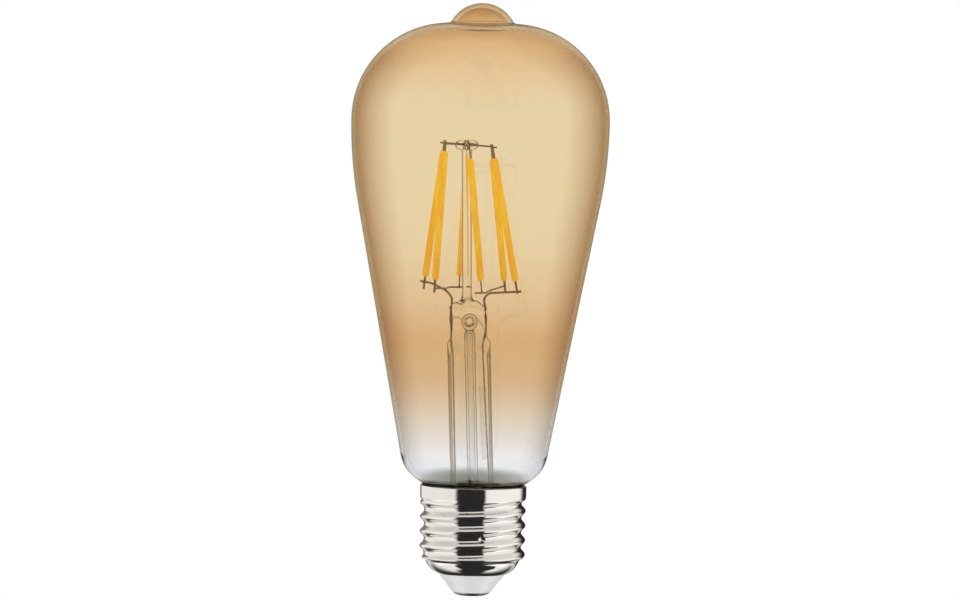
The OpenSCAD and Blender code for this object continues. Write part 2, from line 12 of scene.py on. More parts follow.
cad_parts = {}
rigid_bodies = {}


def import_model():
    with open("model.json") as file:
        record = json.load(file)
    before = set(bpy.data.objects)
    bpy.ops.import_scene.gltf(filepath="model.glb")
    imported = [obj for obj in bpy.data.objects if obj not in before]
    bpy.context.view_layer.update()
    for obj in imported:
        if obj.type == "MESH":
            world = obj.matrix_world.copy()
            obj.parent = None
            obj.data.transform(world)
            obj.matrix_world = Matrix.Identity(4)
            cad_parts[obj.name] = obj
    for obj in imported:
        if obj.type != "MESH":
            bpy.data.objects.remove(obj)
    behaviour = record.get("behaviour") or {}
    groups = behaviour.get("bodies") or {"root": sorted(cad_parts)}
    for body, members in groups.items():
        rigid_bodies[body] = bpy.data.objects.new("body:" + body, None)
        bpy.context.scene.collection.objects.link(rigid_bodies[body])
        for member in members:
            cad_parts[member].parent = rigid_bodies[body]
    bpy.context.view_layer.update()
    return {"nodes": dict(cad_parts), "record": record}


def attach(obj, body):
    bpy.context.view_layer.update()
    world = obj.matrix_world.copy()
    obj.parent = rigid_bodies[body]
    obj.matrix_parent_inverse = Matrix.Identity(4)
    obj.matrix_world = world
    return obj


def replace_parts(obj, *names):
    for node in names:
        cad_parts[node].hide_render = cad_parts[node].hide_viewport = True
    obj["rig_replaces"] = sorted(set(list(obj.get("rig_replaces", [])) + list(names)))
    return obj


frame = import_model()
scene = bpy.context.scene
nodes_of_cad = frame["nodes"]

MM = 0.001

# ---- Sizes that the pieces share with the CAD, in millimetres and degrees ----
# Glass bulb
GLASS_R = 32.0
TOTAL_H = 147.0
WIDEST_Z = 118.0
SHOULDER_R = 24.0
DOME_R = 99.0
BELLY_R = 109.0
TAPER = 10.7
TIP_R = 8.7
WALL = 0.9
TIP_EXTRA = 0.2
NECK_R = 11.5
NECK_Z = 18.3
NECK_CURVE = 1.5
SLOPE_FROM = (13.1, 28.1)
SLOPE = 55.0
CORNER_R = 9.0
TIP_FILLET = 1.0

# Screw cap
COLLAR_R = 13.2
COLLAR_Z = 24.5
RIM_Z = 27.5
ROOT_R = 12.1
THREAD_DEPTH = 1.05
PITCH = 3.629
THREAD_START = 10.45
THREAD_Z = 8.5
SHEET = 0.25
SKIRT_C = (6.05, 10.9)
SKIRT_R = 6.0
THREAD_SHARPNESS = 1.25
DIMPLE_Z = 15.0
DIMPLE_AZ = (-79.0, 11.0, 101.0, 191.0)
DIMPLE_DEPTH = 0.2
DIMPLE_R = 0.48

# Stem
STEM_LEAN = 2.4
STEM_PIVOT = 19.4
STEM_R = 5.4
STEM_WALL = 0.5
FLARE_Z = 29.0
FLARE_CURVE = 10.0
FLARE_RIM_Z = 18.8
FLARE_RIM_R = NECK_R - WALL - 0.06
PINCH_FROM = 59.5
SHOULDER_Z = 63.4
PRESS_FROM = SHOULDER_Z + 2.8
PRESS_TOP = 73.4
PRESS_W = 9.3
PRESS_T = 3.2
HOLE_AT = (0.3, 68.2)
EXHAUST_R = 1.33
EXHAUST_BORE = 0.72
EXHAUST_SHIFT = 0.25
PILLAR_SHIFT = -0.25
PILLAR_TURN = 1.25
PILLAR_R = 1.25
BUTTON_Z = 111.95
BUTTON_R = 2.9
BUTTON_H = 2.4
BUTTON_EDGE = BUTTON_H / 2

# Filaments and the wires that hold them
FILAMENT_AZ = (-77, -17, 43, 103, 163, 223)
FILAMENT_LOW = (79.0, 78.55, 78.15, 79.25, 79.4, 79.1)
FILAMENT_TOP = (108.55, 108.5, 108.3, 110.15, 110.4, 110.3)
RING_LOW = (0.8, 11.65)
RING_TOP = (0.5, 7.1)
RING_TURN = -9.5
COAT_R = 0.83
STRIP_W = 0.5
STRIP_T = 0.3
ARM_SLOPE = -0.0857
LEAD_R = 0.3
WIRE_R = 0.25
LEG_R = 0.25
WELD_PLAY = 0.13
WELD_END = 0.8
# Lead wires and cross wires are drawn this much slimmer than in the CAD
SLIM = 0.03
DUMET_AT = (-4.0, 4.15)
DUMET_LOW = 66.5
DUMET_TOP = 72.5
RIGHT_LEG_TOP = (3.35, 62.9)
RIGHT_LEG_FOOT = (4.5, 21.0)
SLEEVE_R = 0.93
SLEEVE_BORE = 0.72
SLEEVE_SHIFT = 0.53
SLEEVE_TOP = 52.0


def rotation(degrees, axis="Y"):
    return Matrix.Rotation(math.radians(degrees), 4, axis)


def about(pivot, degrees):
    """Turn about the Y axis through a point."""
    return Matrix.Translation(pivot) @ rotation(degrees) @ Matrix.Translation(-Vector(pivot))


STEM = about((0, 0, STEM_PIVOT), -STEM_LEAN)
PILLAR = (STEM @ Matrix.Translation((PILLAR_SHIFT, 0, PRESS_TOP)) @ rotation(PILLAR_TURN)
          @ Matrix.Translation((0, 0, -PRESS_TOP)))
UPRIGHT = Matrix()

# ---- How finely shapes are drawn, in millimetres and counts ----
ON_AXIS = 1e-6
BEND_SHARE = 0.45
WIRE_STEP = 0.22
WIRE_SIDES = 18
COAT_STEP = 0.28
COAT_SIDES = 28
SLEEVE_STEP = 0.5
SLEEVE_RINGS = 38
SLEEVE_SIDES = 24
ROD_SIDES = 64
STEM_SIDES = 96
CONTACT_SIDES = 96
INSULATOR_SIDES = 160
GLASS_SIDES = 192
SHELL_SIDES = 360
THREAD_STEP = 0.16
# Rounded end of a swept tube: how far past the end, and how wide, in shares of its radius
END_RINGS = ((0.12, 0.93), (0.24, 0.72), (0.3, 0.4))
END_POINT = 0.31


# ---- Small geometry helpers ----
def sin(a):
    """Sine of an angle in degrees."""
    return math.sin(math.radians(a))


def cos(a):
    """Cosine of an angle in degrees."""
    return math.cos(math.radians(a))


def ramp(t):
    """Smooth rise from 0 at t = 0 to 1 at t = 1."""
    t = min(1.0, max(0.0, t))
    return t * t * (3 - 2 * t)


def on_arc(centre, radius, angle):
    return (centre[0] + radius * cos(angle), centre[1] + radius * sin(angle))


def arc(centre, radius, start, end, steps, whole=True):
    """Points on an arc; without the last one when another curve carries on from there."""
    count = steps + 1 if whole else steps
    return [on_arc(centre, radius, start + (end - start) * i / steps) for i in range(count)]


def meet(a, da, b, db):
    """Where two lines meet, each given by its normal's angle and its distance along it."""
    return ((da * sin(b) - db * sin(a)) / sin(b - a), (db * cos(a) - da * cos(b)) / sin(b - a))


def along(p, a):
    """How far a point lies in an angle's direction."""
    return p[0] * cos(a) + p[1] * sin(a)


def circle(r, z, sides):
    """Level ring of points round the axis."""
    return [(r * cos(360 * k / sides), r * sin(360 * k / sides), z) for k in range(sides)]


def skin(rings, loop=False):
    """Vertices and faces of a skin through rings of points; a ring of one point closes an end."""
    verts, starts, faces = [], [], []
    for ring in rings:
        starts.append(len(verts))
        verts.extend(ring)
    pairs = list(zip(range(len(rings)), range(1, len(rings))))
    if loop:
        pairs.append((len(rings) - 1, 0))
    for a, b in pairs:
        na, nb = len(rings[a]), len(rings[b])
        for k in range(max(na, nb)):
            quad = [starts[a] + k % na, starts[a] + (k + 1) % na,
                    starts[b] + (k + 1) % nb, starts[b] + k % nb]
            face = [v for i, v in enumerate(quad) if v not in quad[:i]]
            if len(face) > 2:
                faces.append(face)
    return verts, faces


def lathe(profile, sides, loop=False):
    """Skin of a profile of (radius, height) turned round Z."""
    rings = [[(0, 0, z)] if r < ON_AXIS else circle(r, z, sides) for r, z in profile]
    return skin(rings, loop)


def rounded(points, bend, steps=8):
    """A route with each corner turned into a smooth bend."""
    points = [Vector(p) for p in points]
    out = [points[0]]
    for a, b, c in zip(points, points[1:], points[2:]):
        p = b + (a - b).normalized() * min(bend, BEND_SHARE * (a - b).length)
        q = b + (c - b).normalized() * min(bend, BEND_SHARE * (c - b).length)
        for k in range(steps + 1):
            u = k / steps
            out.append((1 - u) ** 2 * p + 2 * u * (1 - u) * b + u * u * q)
    out.append(points[-1])
    return out


def spread(path, step):
    """The same route with points at most a step apart."""
    out = [path[0]]
    for a, b in zip(path, path[1:]):
        count = max(1, math.ceil((b - a).length / step))
        out.extend(a.lerp(b, k / count) for k in range(1, count + 1))
    return out


def frames_along(path, side):
    """Tangent and two cross directions at each point of a route, without twist."""
    side = Vector(side)
    out = []
    for i in range(len(path)):
        tangent = (path[min(i + 1, len(path) - 1)] - path[max(i - 1, 0)]).normalized()
        side = (side - tangent * side.dot(tangent)).normalized()
        out.append((tangent, side, tangent.cross(side)))
    return out


def sweep(path, section, side=(0.3, 1, 0.2), sides=WIRE_SIDES):
    """Tube along a route. section(share along, angle) gives the radius there. Both ends are rounded."""
    frames = frames_along(path, side)
    length = sum((b - a).length for a, b in zip(path, path[1:]))
    angles = [360 * k / sides for k in range(sides)]
    rings, gone = [], 0.0
    for i, (p, (_, u, v)) in enumerate(zip(path, frames)):
        if i:
            gone += (p - path[i - 1]).length
        rings.append([p + (u * cos(a) + v * sin(a)) * section(gone / length, a) for a in angles])

    def end(i, sign):
        p = path[i]
        way = frames[i][0] * sign
        r = section(0.0 if i == 0 else 1.0, 0)
        caps = [[p + (q - p) * share + way * lift * r for q in rings[i]] for lift, share in END_RINGS]
        return caps + [[p + way * END_POINT * r]]

    return skin(end(0, -1)[::-1] + rings + end(len(path) - 1, 1))


def wire_shape(points, r, bend, seed=0.0):
    """Round wire through bent corners, whose thickness varies by a hair."""
    path = spread(rounded(points, bend), WIRE_STEP)

    def section(share, angle):
        return r * (0.985 + 0.03 * noise.noise(Vector((share * 25 + seed, cos(angle), sin(angle)))))

    return sweep(path, section)


def make(name, shape, material, replaces=(), matrix=UPRIGHT, sharp=35.0):
    """A piece of the lamp: its mesh in metres, smooth with sharp corners kept, riding on the one body."""
    verts, faces = shape
    mesh = bpy.data.meshes.new(name)
    mesh.from_pydata([(matrix @ Vector(v)) * MM for v in verts], [], faces)
    obj = bpy.data.objects.new(name, mesh)
    scene.collection.objects.link(obj)
    bm = bmesh.new()
    bm.from_mesh(mesh)
    bmesh.ops.recalc_face_normals(bm, faces=bm.faces)
    bm.to_mesh(mesh)
    bm.free()
    mesh.polygons.foreach_set("use_smooth", [True] * len(mesh.polygons))
    mesh.set_sharp_from_angle(angle=math.radians(sharp))
    mesh.update()
    obj.data.materials.append(material)
    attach(obj, "root")
    if replaces:
        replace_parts(obj, *replaces)
    return obj


# ---- Node helpers ----
class Nodes:
    """A node tree, with short calls for the nodes used here."""

    def __init__(self, tree):
        self.tree = tree

    def node(self, kind, **settings):
        made = self.tree.nodes.new(kind)
        for key, value in settings.items():
            setattr(made, key, value)
        return made

    def link(self, source, target):
        self.tree.links.new(source, target)

    def put(self, value, socket):
        """Another node's output, or a plain number or colour, into a socket."""
        if isinstance(value, bpy.types.NodeSocket):
            self.link(value, socket)
        else:
            socket.default_value = (*value, 1) if socket.type == "RGBA" else value

    def maths(self, operation, *values):
        made = self.node("ShaderNodeMath", operation=operation)
        for value, socket in zip(values, made.inputs):
            self.put(value, socket)
        return made.outputs[0]

    def between(self, value, low, high, start=0.3, end=0.7, kind="SMOOTHSTEP"):
        """low at start, high at end, with a soft change in between."""
        made = self.node("ShaderNodeMapRange", interpolation_type=kind)
        for key, number in (("From Min", start), ("From Max", end), ("To Min", low), ("To Max", high)):
            made.inputs[key].default_value = number
        self.link(value, made.inputs["Value"])
        return made.outputs["Result"]

    def mix(self, factor, a, b):
        made = self.node("ShaderNodeMix", data_type="RGBA")
        for value, socket in ((factor, made.inputs[0]), (a, made.inputs[6]), (b, made.inputs[7])):
            self.put(value, socket)
        return made.outputs[2]


class Shader(Nodes):
    """A material round one Principled shader."""

    def __init__(self, name):
        self.material = bpy.data.materials.new(name)
        self.material.use_nodes = True
        super().__init__(self.material.node_tree)
        self.bsdf = self.tree.nodes["Principled BSDF"]
        self.place = None

    def coords(self):
        if self.place is None:
            self.place = self.node("ShaderNodeTexCoord").outputs["Object"]
        return self.place

    def set(self, **values):
        """Plain values for the shader's own sockets."""
        for key, value in values.items():
            self.put(value, self.bsdf.inputs[key.replace("_", " ")])
        return self

    def noise(self, per_mm, detail=3.0, stretch=(1, 1, 1), rough=0.5):
        """Noise with about per_mm waves in a millimetre."""
        scaled = self.node("ShaderNodeVectorMath", operation="MULTIPLY")
        scaled.inputs[1].default_value = [1000 * s for s in stretch]
        self.link(self.coords(), scaled.inputs[0])
        made = self.node("ShaderNodeTexNoise")
        made.inputs["Scale"].default_value = per_mm
        made.inputs["Detail"].default_value = detail
        made.inputs["Roughness"].default_value = rough
        self.link(scaled.outputs[0], made.inputs["Vector"])
        return made.outputs["Fac"]

    def share(self, value, start, end):
        """0 at start, 1 at end, straight in between."""
        return self.between(value, 0, 1, start, end, "LINEAR")

    def facing(self):
        """0 where the surface is seen square on, 1 where it is seen along itself."""
        made = self.node("ShaderNodeLayerWeight")
        made.inputs["Blend"].default_value = 0.5
        return made.outputs["Facing"]

    def ramp(self, value, stops):
        made = self.node("ShaderNodeValToRGB")
        elements = made.color_ramp.elements
        while len(elements) < len(stops):
            elements.new(0.5)
        for element, (place, colour) in zip(elements, stops):
            element.position = place
            element.color = (*colour, 1)
        self.link(value, made.inputs["Fac"])
        return made.outputs["Color"]

    def bump(self, height, strength, depth_mm):
        """Fine relief. Shapes that show come from the mesh."""
        made = self.node("ShaderNodeBump")
        made.inputs["Strength"].default_value = strength
        made.inputs["Distance"].default_value = depth_mm * MM
        self.link(height, made.inputs["Height"])
        self.link(made.outputs["Normal"], self.bsdf.inputs["Normal"])
        return self

    def into(self, value, socket):
        self.link(value, self.bsdf.inputs[socket])
        return self


# ---- Materials ----
def metal(name, colour, dark, rough, grain=1.5, dents=0.05, stretch=(1, 1, 1), patches=0.25):
    """Metal whose tarnish, polish and fine dents vary over the surface."""
    s = Shader(name).set(Metallic=1.0)
    blotch = s.noise(patches, 4, stretch)
    fine = s.noise(grain, 5, stretch, 0.6)
    s.into(s.mix(s.between(blotch, 0, 1, 0.35, 0.75), colour, dark), "Base Color")
    s.into(s.between(fine, rough * 0.75, rough * 1.35), "Roughness")
    return s.bump(fine, 0.25, dents).material


def plastic(name, colour, other, rough, grain=2.0, patches=0.3, depth=0.03, **settings):
    """Moulded, lacquered or cast surface with slight mottling and texture."""
    s = Shader(name).set(**settings)
    blotch = s.noise(patches, 4)
    fine = s.noise(grain, 4, rough=0.6)
    s.into(s.mix(s.between(blotch, 0, 1), colour, other), "Base Color")
    s.into(s.between(fine, rough * 0.8, min(1, rough * 1.25)), "Roughness")
    return s.bump(fine, 0.3, depth).material


def glass(name, ripple, rough=0.0):
    """Clear glass with the faint ripple of a drawn or blown surface."""
    s = Shader(name).set(Transmission_Weight=1.0, IOR=1.5, Roughness=rough)
    wave = s.noise(0.12, 2, (1, 1, 0.5))
    return s.bump(wave, 1.0, ripple)


# Range of heights that the coat's colours span, and how far its edges drift up and down
COAT_FROM = 26.0
COAT_TO = 148.0
DRIFT = 0.8
# Coat's colour by height, with painted shade in the dark greys right above the cap. The drift lifts a place
# by 0.4 on average, so a colour stands that much lower.
COAT_AND_NECK_SHADE = (
    # Painted shade: the first three dark greys, just above the cap
    (27.8, (0.17, 0.17, 0.13)),
    (28.5, (0.21, 0.22, 0.19)),
    (29.2, (0.37, 0.39, 0.37)),
    (29.8, (0.95, 0.96, 0.97)),
    (33.0, (0.955, 0.967, 1.0)),
    (35.5, (0.935, 0.933, 0.925)),
    (39.2, (0.909, 0.865, 0.835)),
    (44.2, (0.876, 0.816, 0.718)),
    (49.1, (0.861, 0.738, 0.594)),
    (54.1, (0.835, 0.683, 0.491)),
    (64.0, (0.836, 0.654, 0.437)),
    (73.9, (0.88, 0.737, 0.542)),
    (86.3, (0.907, 0.803, 0.61)),
    (98.7, (0.919, 0.817, 0.63)),
    (123.4, (0.91, 0.81, 0.626)),
    (133.4, (0.905, 0.753, 0.544)),
    (137.9, (0.91, 0.74, 0.505)),
    (142.4, (0.84, 0.66, 0.43)),
    (145.4, (0.76, 0.55, 0.32)),
)
# Tint where the glass is seen along itself, partly the coat's deeper colour and partly painted shade
# darkening the edges: at the neck, and then what it fades to between two heights
NECK_EDGE_SHADE = (0.90, 0.91, 0.93)
EDGE_TINTS_AND_SHADE = (
    (31, 34.5, (0.62, 0.62, 0.61)),
    (36, 70, (0.48, 0.285, 0.11)),
    (131, 138, (0.80, 0.70, 0.56)),
    (143, 145.5, (0.46, 0.36, 0.235)),
)
# Share of facing between which the coat goes from its own colour to the tinted and shaded one at the edges
EDGE_SHADE_FROM = 0.27
EDGE_SHADE_TO = 0.78


def coat_place(z):
    return (z - COAT_FROM) / (COAT_TO - COAT_FROM)


def tinted_and_shaded(z, colour):
    """The coat's colour seen along the glass, deepened and darkened by painted edge shade."""
    tint_and_shade = Vector(NECK_EDGE_SHADE)
    for start, end, other in EDGE_TINTS_AND_SHADE:
        tint_and_shade = tint_and_shade.lerp(Vector(other), ramp((z - start) / (end - start)))
    return tuple(c * t for c, t in zip(colour, tint_and_shade))


def coated_glass():
    """The bulb's glass: an amber coat, deepest at the belly's foot, fading to clear above the cap, with
    painted shade in dark grey right above the cap and darker towards the edges.
    """
    s = glass("Amber_glass", 0.012)
    height = s.node("ShaderNodeSeparateXYZ")
    s.link(s.coords(), height.inputs[0])
    lifted = s.maths("MULTIPLY_ADD", s.noise(0.05, 2), DRIFT * MM, height.outputs["Z"])
    up = s.share(lifted, COAT_FROM * MM, COAT_TO * MM)
    square_on = s.ramp(up, [(coat_place(z), colour) for z, colour in COAT_AND_NECK_SHADE])
    edge_on_shaded = s.ramp(up, [(coat_place(z), tinted_and_shaded(z, colour)) for z, colour in COAT_AND_NECK_SHADE])
    # Painted shade: towards the edges the coat takes the darker, shaded edge colour
    s.into(s.mix(s.share(s.facing(), EDGE_SHADE_FROM, EDGE_SHADE_TO), square_on, edge_on_shaded), "Base Color")
    return s.material


def edged_glass(name, middle, edge, start, end, ior=1.5):
    """Clear drawn glass with painted shade: where it is seen edge-on it goes dark brown to near black."""
    s = glass(name, 0.02).set(IOR=ior)
    s.into(s.mix(s.between(s.facing(), 0, 1, start, end), middle, edge), "Base Color")
    return s.material


def sleeve_plastic():
    """Clear sleeve, slightly clouded."""
    s = glass("Clear_sleeve", 0.01, 0.08)
    cloud = s.between(s.noise(0.5), 0, 1)
    s.into(s.mix(cloud, (0.96, 0.97, 0.965), (0.90, 0.92, 0.91)), "Base Color")
    return s.material


def phosphor():
    """Silicone full of phosphor: slightly uneven yellow-orange, with a faint painted glow that makes it
    brighter than its lighting.
    """
    # Painted light: the emission makes the coat glow a little, though the lamp is off
    s = Shader("Phosphor").set(Specular_IOR_Level=0.35, Emission_Strength=0.32)
    cloud = s.noise(0.9, 3, (1, 1, 0.12))
    grain = s.noise(6.0, 3, rough=0.7)
    base = s.mix(s.between(cloud, 0, 1, 0.35, 0.65), (1.0, 0.47, 0.002), (0.96, 0.69, 0.012))
    base = s.mix(s.between(grain, 0, 0.35), base, (1.0, 0.72, 0.04))
    s.into(base, "Base Color")
    s.into(s.between(grain, 0.38, 0.6), "Roughness")
    s.into(base, "Emission Color")
    return s.bump(s.noise(2.2, 4), 0.5, 0.06).material


AMBER_GLASS = coated_glass()
# Edge colours are painted shade: the clear glass goes near black where it is seen along itself
STEM_GLASS = edged_glass("Stem_glass", (0.98, 0.985, 0.975), (0.07, 0.04, 0.013), 0.53, 0.64)
ROD_GLASS = edged_glass("Rod_glass", (0.97, 0.97, 0.95), (0.20, 0.14, 0.08), 0.12, 0.5)
EXHAUST_GLASS = edged_glass("Exhaust_glass", (0.93, 0.935, 0.93), (0.06, 0.045, 0.03), 0.30, 0.58)
BEAD_GLASS = edged_glass("Bead_glass", (0.985, 0.97, 0.94), (0.10, 0.065, 0.03), 0.40, 0.80, 1.09)
LIP_GLASS = edged_glass("Lip_glass", (0.86, 0.80, 0.68), (0.03, 0.02, 0.008), 0.10, 0.42)
SLEEVE = sleeve_plastic()
NICKEL = metal("Shell_nickel", (0.82, 0.80, 0.775), (0.77, 0.745, 0.715), 0.08, 1.2, 0.02,
               (1, 1, 0.35), 0.12)
CONTACT = metal("Contact_metal", (0.50, 0.50, 0.49), (0.38, 0.37, 0.36), 0.3, 2.0, 0.03)
OXIDISED = metal("Nickel_wire", (0.34, 0.25, 0.13), (0.17, 0.12, 0.06), 0.42, 3.0, 0.03, patches=0.9)
STRIP = metal("Strip_metal", (0.36, 0.265, 0.15), (0.20, 0.145, 0.08), 0.4, 3.0, 0.02, patches=0.8)
DUMET = metal("Dumet_wire", (0.30, 0.20, 0.12), (0.17, 0.11, 0.07), 0.4, 3.0, 0.02, patches=0.7)
TINNED = metal("Tinned_wire", (0.58, 0.50, 0.38), (0.36, 0.30, 0.21), 0.4, 2.5, 0.02, patches=0.5)
PHOSPHOR = phosphor()
INSULATOR = plastic("Insulator_white", (0.80, 0.80, 0.795), (0.77, 0.77, 0.765), 0.22, 1.0, 0.2, 0.015,
                    Coat_Weight=0.35, Coat_Roughness=0.12)

# Materials of the CAD nodes that stay, by slot
BY_SLOT = {
    "basing_cement": plastic("Basing_cement", (0.78, 0.73, 0.60), (0.66, 0.60, 0.48), 0.9, 3.0, 0.6, 0.12),
    "solder": metal("Solder", (0.70, 0.71, 0.72), (0.55, 0.56, 0.58), 0.25),
    "liner_card": plastic("Liner_card", (0.62, 0.50, 0.30), (0.53, 0.41, 0.23), 0.55, 4.0, 1.0),
    "strip_metal": STRIP,
    "led_die": plastic("Led_die", (0.62, 0.70, 0.85), (0.52, 0.62, 0.82), 0.2),
    "board_green": plastic("Board_green", (0.03, 0.16, 0.06), (0.02, 0.12, 0.045), 0.3, 2.5),
    "chip_black": plastic("Chip_black", (0.02, 0.02, 0.022), (0.03, 0.03, 0.03), 0.5, 5.0, 0.5, 0.02),
    "capacitor_sleeve": plastic("Capacitor_sleeve", (0.035, 0.045, 0.06), (0.045, 0.055, 0.075), 0.3),
    "ferrite": plastic("Ferrite", (0.045, 0.045, 0.05), (0.07, 0.07, 0.07), 0.65, 5.0),
    "copper_winding": metal("Copper_winding", (0.62, 0.26, 0.09), (0.45, 0.17, 0.05), 0.3, 3.0, 0.06,
                            (0.05, 0.05, 3)),
    "resistor_body": plastic("Resistor_body", (0.22, 0.33, 0.39), (0.18, 0.28, 0.34), 0.4),
    "board_blue": plastic("Board_blue", (0.015, 0.045, 0.15), (0.01, 0.03, 0.11), 0.3, 2.5),
    "shield_can": metal("Shield_can", (0.66, 0.67, 0.68), (0.55, 0.56, 0.57), 0.25, 1.0, 0.03, (6, 1, 1)),
    "copper_trace": metal("Copper_trace", (0.75, 0.45, 0.16), (0.62, 0.34, 0.1), 0.3),
    "red_insulation": plastic("Red_insulation", (0.42, 0.03, 0.02), (0.36, 0.025, 0.015), 0.4),
    "blue_insulation": plastic("Blue_insulation", (0.03, 0.10, 0.40), (0.02, 0.08, 0.33), 0.4),
}


# ---- Glass bulb ----
BELLY_C = (GLASS_R - BELLY_R, WIDEST_Z)
SHOULDER_C = (GLASS_R - SHOULDER_R, WIDEST_Z)
DOME_C = (0.0, WIDEST_Z - math.sqrt((DOME_R - SHOULDER_R) ** 2 - SHOULDER_C[0] ** 2))
DOME_FROM = math.degrees(math.atan2(WIDEST_Z - DOME_C[1], SHOULDER_C[0]))
TIP_C = (0.0, TOTAL_H - TIP_R)


def bulb_side(t):
    """Side of the bulb from the neck to the dome, t inside the outer face."""
    slope_at = along(SLOPE_FROM, -SLOPE)
    taper_end = on_arc(BELLY_C, BELLY_R, -TAPER)
    neck_c = meet(0, NECK_R + NECK_CURVE, -SLOPE, slope_at + NECK_CURVE)
    # Inside, the corner above the neck has the larger radius, so that the wall there isn't a lens
    bend = CORNER_R + t
    inset = t + bend
    corner_c = meet(-TAPER, along(taper_end, -TAPER) - inset, -SLOPE, slope_at - inset)
    corner = arc(corner_c, bend, -SLOPE, -TAPER, 14)
    belly = arc(BELLY_C, BELLY_R - t, -TAPER, 0, 24, False)
    foot = arc(neck_c, NECK_CURVE + t, 180, 180 - SLOPE, 10)
    taper = [tuple(Vector(corner[-1]).lerp(Vector(belly[0]), k / 24)) for k in range(1, 24)]
    neck = [(NECK_R - t, NECK_Z), (NECK_R - t, NECK_Z + 3)]
    return neck + foot + corner + taper + belly + arc(SHOULDER_C, SHOULDER_R - t, 0, DOME_FROM, 36, False)


def bulb_top(t, extra, fillet_steps, tip_steps):
    """Dome, fillet and ball-shaped tip, t inside the outer face, with extra wall at the tip."""
    dome_r = DOME_R - t
    tip_r = TIP_R - t - extra
    gap = TIP_C[1] - DOME_C[1]
    far = (dome_r + TIP_FILLET) ** 2
    rise = (gap * gap + far - (tip_r + TIP_FILLET) ** 2) / (2 * gap)
    fillet_c = (math.sqrt(far - rise * rise), DOME_C[1] + rise)
    on_dome = math.degrees(math.atan2(rise, fillet_c[0]))
    on_tip = math.degrees(math.atan2(fillet_c[1] - TIP_C[1], fillet_c[0]))
    dome = arc(DOME_C, dome_r, DOME_FROM, on_dome, 14, False)
    fillet = arc(fillet_c, TIP_FILLET, on_dome + 180, on_tip + 180, fillet_steps, False)
    return dome + fillet + arc(TIP_C, tip_r, on_tip, 90, tip_steps)


# The two faces meet only round the neck's foot, so the axis points stay separate
outer = bulb_side(0) + bulb_top(0, 0, 8, 26)
inner = bulb_side(WALL) + bulb_top(WALL, TIP_EXTRA, 10, 20)
make("Glass_bulb", lathe(outer + inner[::-1], GLASS_SIDES, loop=True), AMBER_GLASS,
     ["glass_envelope"], sharp=60)


# ---- Stem ----
PRESS_POWER = 3.6
PRESS_WOBBLE = 0.08


def press_top_wave(x):
    """Uneven top of the pressed end."""
    return 0.35 * math.sin(1.15 * x + 0.6) + 0.22 * math.sin(2.3 * x + 2.0) - 0.035 * x * x


def slot_ring(a, b, z, power, wobble=0.0, wave=0.0):
    """Rounded slot outline of half sizes a and b; a higher power makes it squarer."""
    ring = []
    for k in range(STEM_SIDES):
        c, s = cos(360 * k / STEM_SIDES), sin(360 * k / STEM_SIDES)
        r = (abs(c / a) ** power + abs(s / b) ** power) ** (-1 / power)
        x, y = r * c, r * s
        if wobble:
            n = noise.noise(Vector((x * 0.55 + 7, y * 0.8, z * 0.5)))
            x, y = x * (1 + 0.3 * wobble * n), y * (1 + wobble * n)
        ring.append((x, y, z + wave * press_top_wave(x)))
    return ring


def narrowing(z):
    """How far the tube's width has come to the pressed end's."""
    return ramp((z - SHOULDER_Z + 0.7) / 1.9)


def tube_rings(t):
    """Flare and the tube above it, t inside the outer face."""
    profile = [(FLARE_RIM_R - t, FLARE_RIM_Z)]
    profile += arc((STEM_R + FLARE_CURVE, FLARE_Z), FLARE_CURVE + t, 237, 180, 18)
    profile += [(STEM_R - t, FLARE_Z + (PINCH_FROM - FLARE_Z) * k / 14) for k in range(1, 15)]
    return [circle(r, z, STEM_SIDES) for r, z in profile]


def shoulder_rings():
    """Tube pinched from round to flat."""
    rings = []
    for k in range(1, 19):
        t = k / 18
        z = PINCH_FROM + (PRESS_FROM - PINCH_FROM) * t
        a = STEM_R + (PRESS_W / 2 - 0.1 - STEM_R) * narrowing(z)
        b = STEM_R + (PRESS_T / 2 - STEM_R) * ramp(t * 1.05)
        rings.append(slot_ring(a, b, z, 2 + 1.6 * ramp(t), 0.03 * t))
    return rings


def pressed_rings():
    """Flat pressed end with uneven faces, closed by a rounded, wavy top."""
    rings = []
    for k in range(1, 25):
        t = k / 24
        z = PRESS_FROM + (PRESS_TOP - 0.9 - PRESS_FROM) * t
        bulge = 0.14 * math.sin(z * 1.7) + 0.1 * math.sin(z * 3.1 + 1)
        a = PRESS_W / 2 - 0.1 + 0.1 * ramp(t * 2) + 0.18 * math.sin(z * 1.3 + 0.4) * t
        b = PRESS_T / 2 + bulge * 0.8
        rings.append(slot_ring(a, b, z, PRESS_POWER, PRESS_WOBBLE, ramp((t - 0.45) / 0.55)))
    outline = slot_ring(PRESS_W / 2, PRESS_T / 2, 0, PRESS_POWER, PRESS_WOBBLE)
    for drop, share in ((0.62, 0.93), (0.35, 0.8), (0.14, 0.58), (0.04, 0.3), (0.0, 0.08)):
        width = 0.55 + 0.45 * share
        level = PRESS_TOP - drop
        rings.append([(x * width, y * share, level + press_top_wave(x * width)) for x, y, _ in outline])
    return rings + [[(0, 0, PRESS_TOP + press_top_wave(0))]]


def hollow_end_rings():
    """Inside of the pinched tube, closed under the pressed end."""
    tube_r = STEM_R - STEM_WALL
    top = SHOULDER_Z + 2.1
    rings = []
    for k in range(1, 19):
        t = k / 18
        z = PINCH_FROM + (top - PINCH_FROM) * t
        a = tube_r * (1 - 0.2 * narrowing(z)) * math.sqrt(1 - max(0, t - 0.86) * 6.2)
        b = (tube_r - 0.06) * (1 - ramp(t * 1.08)) + 0.06
        rings.append(slot_ring(a, b, z, 2.2))
    return rings + [[(0, 0, top + 0.1)]]


